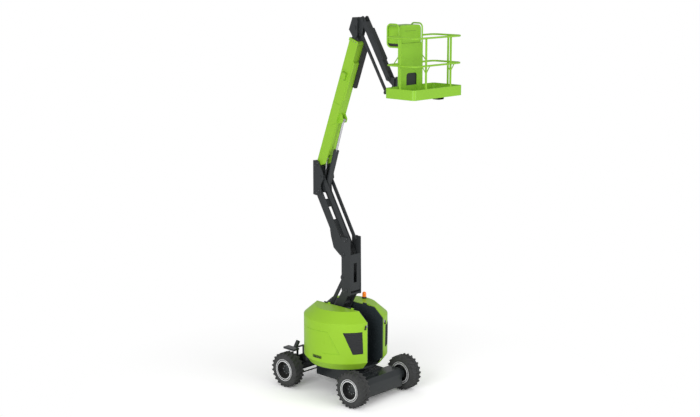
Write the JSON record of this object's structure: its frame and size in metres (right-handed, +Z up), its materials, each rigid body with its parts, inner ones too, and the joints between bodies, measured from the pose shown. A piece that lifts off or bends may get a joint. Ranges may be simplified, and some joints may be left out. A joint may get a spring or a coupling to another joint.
{
  "type": "articulating boom lift",
  "caption": "Self-propelled articulating boom lift with hooded turntable, double riser, telescopic boom, levelled jib and work platform.",
  "frame": {"origin": "on the ground under the turntable's swing axis", "axes": "+X towards the platform, +Y to the machine's left seen from behind the boom, +Z up"},
  "size_m": [3.9407, 1.906, 8.1907],
  "materials": {
    "dark_steel": "satin dark grey paint",
    "green_paint": "semi-gloss green paint",
    "tyre": "matt rubber",
    "rim": "satin silver paint",
    "chrome": "polished",
    "vent": "matt black",
    "beacon": "clear orange",
    "iron": "rough black"
  },
  "bodies": {
    "chassis": {"chassis_frame": "dark_steel", "drive_axle_beam": "dark_steel", "hub_drives": "dark_steel", "steer_axle": "dark_steel", "lock_cylinders": "dark_steel", "mudguard_right": "dark_steel", "mudguard_left": "dark_steel"},
    "knuckle_right": {"knuckle_right": "dark_steel"},
    "knuckle_left": {"knuckle_left": "dark_steel"},
    "tie_rod": {"tie_rod": "dark_steel"},
    "wheel_drive_right": {"tyre_drive_right": "tyre", "rim_drive_right": "rim"},
    "wheel_drive_left": {"tyre_drive_left": "tyre", "rim_drive_left": "rim"},
    "wheel_steer_right": {"tyre_steer_right": "tyre", "rim_steer_right": "rim"},
    "wheel_steer_left": {"tyre_steer_left": "tyre", "rim_steer_left": "rim"},
    "turntable": {"deck": "dark_steel", "tower": "dark_steel", "slot_wall_right": "dark_steel", "slot_wall_left": "dark_steel", "engine_block": "iron", "counterweight": "iron"},
    "hood_right": {"hood_right": "green_paint", "vent_right": "vent"},
    "hood_left": {"hood_left": "green_paint", "vent_left": "vent", "beacon": "beacon"},
    "lower_arm": {"lower_arm": "dark_steel"},
    "lower_link": {"lower_link": "dark_steel"},
    "mid_upright": {"mid_upright": "dark_steel", "riser_barrel": "dark_steel"},
    "riser_rod": {"riser_rod": "chrome"},
    "upper_arm": {"upper_arm": "dark_steel"},
    "upper_link": {"upper_link": "dark_steel"},
    "upper_upright": {"upper_upright": "dark_steel"},
    "boom": {"main_boom": "green_paint", "boom_collar": "green_paint"},
    "lift_barrel": {"lift_barrel": "dark_steel"},
    "lift_rod": {"lift_rod": "chrome"},
    "master_barrel": {"master_barrel": "dark_steel"},
    "master_rod": {"master_rod": "chrome"},
    "fly": {"fly": "dark_steel", "cable_tube": "dark_steel"},
    "jib_knuckle": {"jib_knuckle": "dark_steel"},
    "jib_arm": {"jib_arm": "dark_steel"},
    "jib_link": {"jib_link": "dark_steel"},
    "platform_mount": {"platform_mount": "dark_steel"},
    "platform": {"platform_bracket": "dark_steel", "platform_floor": "green_paint", "switch_guard": "dark_steel", "top_rail": "green_paint", "mid_rail": "green_paint", "posts": "green_paint", "rear_panel": "green_paint", "console_tray": "dark_steel", "console": "green_paint", "hoops": "green_paint"}
  },
  "joints": [
    {"name": "swing", "type": "hinge", "parent": "chassis", "child": "turntable", "pos_m": [0, 0, 0.64], "axis": [0, 0, 1], "range_deg": [-177.5, 177.5]},
    {"name": "steer_right", "type": "hinge", "parent": "chassis", "child": "knuckle_right", "pos_m": [-0.995, -0.6, 0.387], "axis": [0, 0, 1], "range_deg": [-35, 35]},
    {"name": "steer_left", "type": "hinge", "parent": "chassis", "child": "knuckle_left", "pos_m": [-0.995, 0.6, 0.387], "axis": [0, 0, 1], "range_deg": [-35.01, 35.01]},
    {"name": "tie_rod_slide", "type": "slide", "parent": "chassis", "child": "tie_rod", "axis": [0, 1, 0], "range_m": [-0.1013, 0.1013]},
    {"name": "wheel_drive_right_spin", "type": "hinge", "parent": "chassis", "child": "wheel_drive_right", "pos_m": [0.995, -0.82, 0.3875], "axis": [0, 1, 0], "continuous": true},
    {"name": "wheel_drive_left_spin", "type": "hinge", "parent": "chassis", "child": "wheel_drive_left", "pos_m": [0.995, 0.82, 0.3875], "axis": [0, 1, 0], "continuous": true},
    {"name": "wheel_steer_right_spin", "type": "hinge", "parent": "knuckle_right", "child": "wheel_steer_right", "pos_m": [-0.995, -0.82, 0.3875], "axis": [0, 1, 0], "continuous": true},
    {"name": "wheel_steer_left_spin", "type": "hinge", "parent": "knuckle_left", "child": "wheel_steer_left", "pos_m": [-0.995, 0.82, 0.3875], "axis": [0, 1, 0], "continuous": true},
    {"name": "hood_right_open", "type": "hinge", "parent": "turntable", "child": "hood_right", "pos_m": [0, -0.25, 1.937], "axis": [-1, 0, 0], "range_deg": [0, 55]},
    {"name": "hood_left_open", "type": "hinge", "parent": "turntable", "child": "hood_left", "pos_m": [0, 0.25, 1.937], "axis": [1, 0, 0], "range_deg": [0, 55]},
    {"name": "riser_lift", "type": "hinge", "parent": "turntable", "child": "lower_arm", "pos_m": [-0.59, 0, 0.97], "axis": [0, -1, 0], "range_deg": [-58, 15]},
    {"name": "lower_link_pivot", "type": "hinge", "parent": "turntable", "child": "lower_link", "pos_m": [-0.68, 0, 1.25], "axis": [0, -1, 0], "range_deg": [-58.01, 15.01]},
    {"name": "mid_level", "type": "hinge", "parent": "lower_arm", "child": "mid_upright", "pos_m": [0.16, 0, 2.26904], "axis": [0, -1, 0], "range_deg": [-15.01, 58.01]},
    {"name": "upper_arm_pivot", "type": "hinge", "parent": "mid_upright", "child": "upper_arm", "pos_m": [0.08, 0, 3.06004], "axis": [0, 1, 0], "range_deg": [-58.01, 15.01]},
    {"name": "upper_link_pivot", "type": "hinge", "parent": "mid_upright", "child": "upper_link", "pos_m": [0.17, 0, 3.40004], "axis": [0, 1, 0], "range_deg": [-58.01, 15.01]},
    {"name": "top_level", "type": "hinge", "parent": "upper_arm", "child": "upper_upright", "pos_m": [-0.67, 0, 4.35908], "axis": [0, 1, 0], "range_deg": [-15.01, 58.01]},
    {"name": "riser_rod_slide", "type": "slide", "parent": "mid_upright", "child": "riser_rod", "axis": [-0.158, 0, 0.9874], "range_m": [-0.1785, 0.0465]},
    {"name": "boom_lift", "type": "hinge", "parent": "upper_upright", "child": "boom", "pos_m": [-0.715, 0, 4.95508], "axis": [0, -1, 0], "range_deg": [-70, 8]},
    {"name": "lift_barrel_pivot", "type": "hinge", "parent": "upper_upright", "child": "lift_barrel", "pos_m": [-0.55, 0, 4.40908], "axis": [0, -1, 0], "range_deg": [-57.18, 6.54]},
    {"name": "lift_rod_slide", "type": "slide", "parent": "lift_barrel", "child": "lift_rod", "axis": [0.3003, 0, 0.9539], "range_m": [-0.5865, 0.0675]},
    {"name": "master_barrel_pivot", "type": "hinge", "parent": "upper_upright", "child": "master_barrel", "pos_m": [-0.64, 0, 4.50008], "axis": [0, -1, 0], "range_deg": [-7.42, 0.86]},
    {"name": "master_rod_slide", "type": "slide", "parent": "master_barrel", "child": "master_rod", "axis": [0.1317, 0, 0.9913], "range_m": [-0.2187, 0.0254]},
    {"name": "telescope", "type": "slide", "parent": "boom", "child": "fly", "axis": [0.342, 0, 0.9397], "range_m": [0, 0.9]},
    {"name": "jib_level", "type": "hinge", "parent": "fly", "child": "jib_knuckle", "pos_m": [0.37297, 0, 7.94424], "axis": [0, -1, 0], "range_deg": [-8.01, 70.01]},
    {"name": "jib_lift", "type": "hinge", "parent": "jib_knuckle", "child": "jib_arm", "pos_m": [0.55297, 0, 8.10224], "axis": [0, -1, 0], "range_deg": [-10, 115]},
    {"name": "jib_link_pivot", "type": "hinge", "parent": "jib_knuckle", "child": "jib_link", "pos_m": [0.46797, 0, 7.80224], "axis": [0, -1, 0], "range_deg": [-10.01, 115.01]},
    {"name": "mount_level", "type": "hinge", "parent": "jib_arm", "child": "platform_mount", "pos_m": [1.24724, 0, 6.94678], "axis": [0, -1, 0], "range_deg": [-115.01, 10.01]},
    {"name": "platform_turn", "type": "hinge", "parent": "platform_mount", "child": "platform", "pos_m": [1.53024, 0, 6.84278], "axis": [0, 0, 1], "range_deg": [-90, 90]}
  ],
  "couplings": [
    {"joint": "steer_left", "follows": "steer_right", "ratio": 1},
    {"joint": "tie_rod_slide", "follows": "steer_right", "m_per_rad": 0.165},
    {"joint": "lower_link_pivot", "follows": "riser_lift", "ratio": 1},
    {"joint": "mid_level", "follows": "riser_lift", "ratio": -1},
    {"joint": "upper_arm_pivot", "follows": "riser_lift", "ratio": 1},
    {"joint": "upper_link_pivot", "follows": "riser_lift", "ratio": 1},
    {"joint": "top_level", "follows": "riser_lift", "ratio": -1},
    {"joint": "riser_rod_slide", "follows": "riser_lift", "m_per_rad": 0.17588},
    {"joint": "lift_barrel_pivot", "follows": "boom_lift", "ratio": 0.81673},
    {"joint": "lift_rod_slide", "follows": "boom_lift", "m_per_rad": 0.47966},
    {"joint": "master_barrel_pivot", "follows": "boom_lift", "ratio": 0.10594},
    {"joint": "master_rod_slide", "follows": "boom_lift", "m_per_rad": 0.17856},
    {"joint": "jib_level", "follows": "boom_lift", "ratio": -1},
    {"joint": "jib_link_pivot", "follows": "jib_lift", "ratio": 1},
    {"joint": "mount_level", "follows": "jib_lift", "ratio": -1}
  ]
}
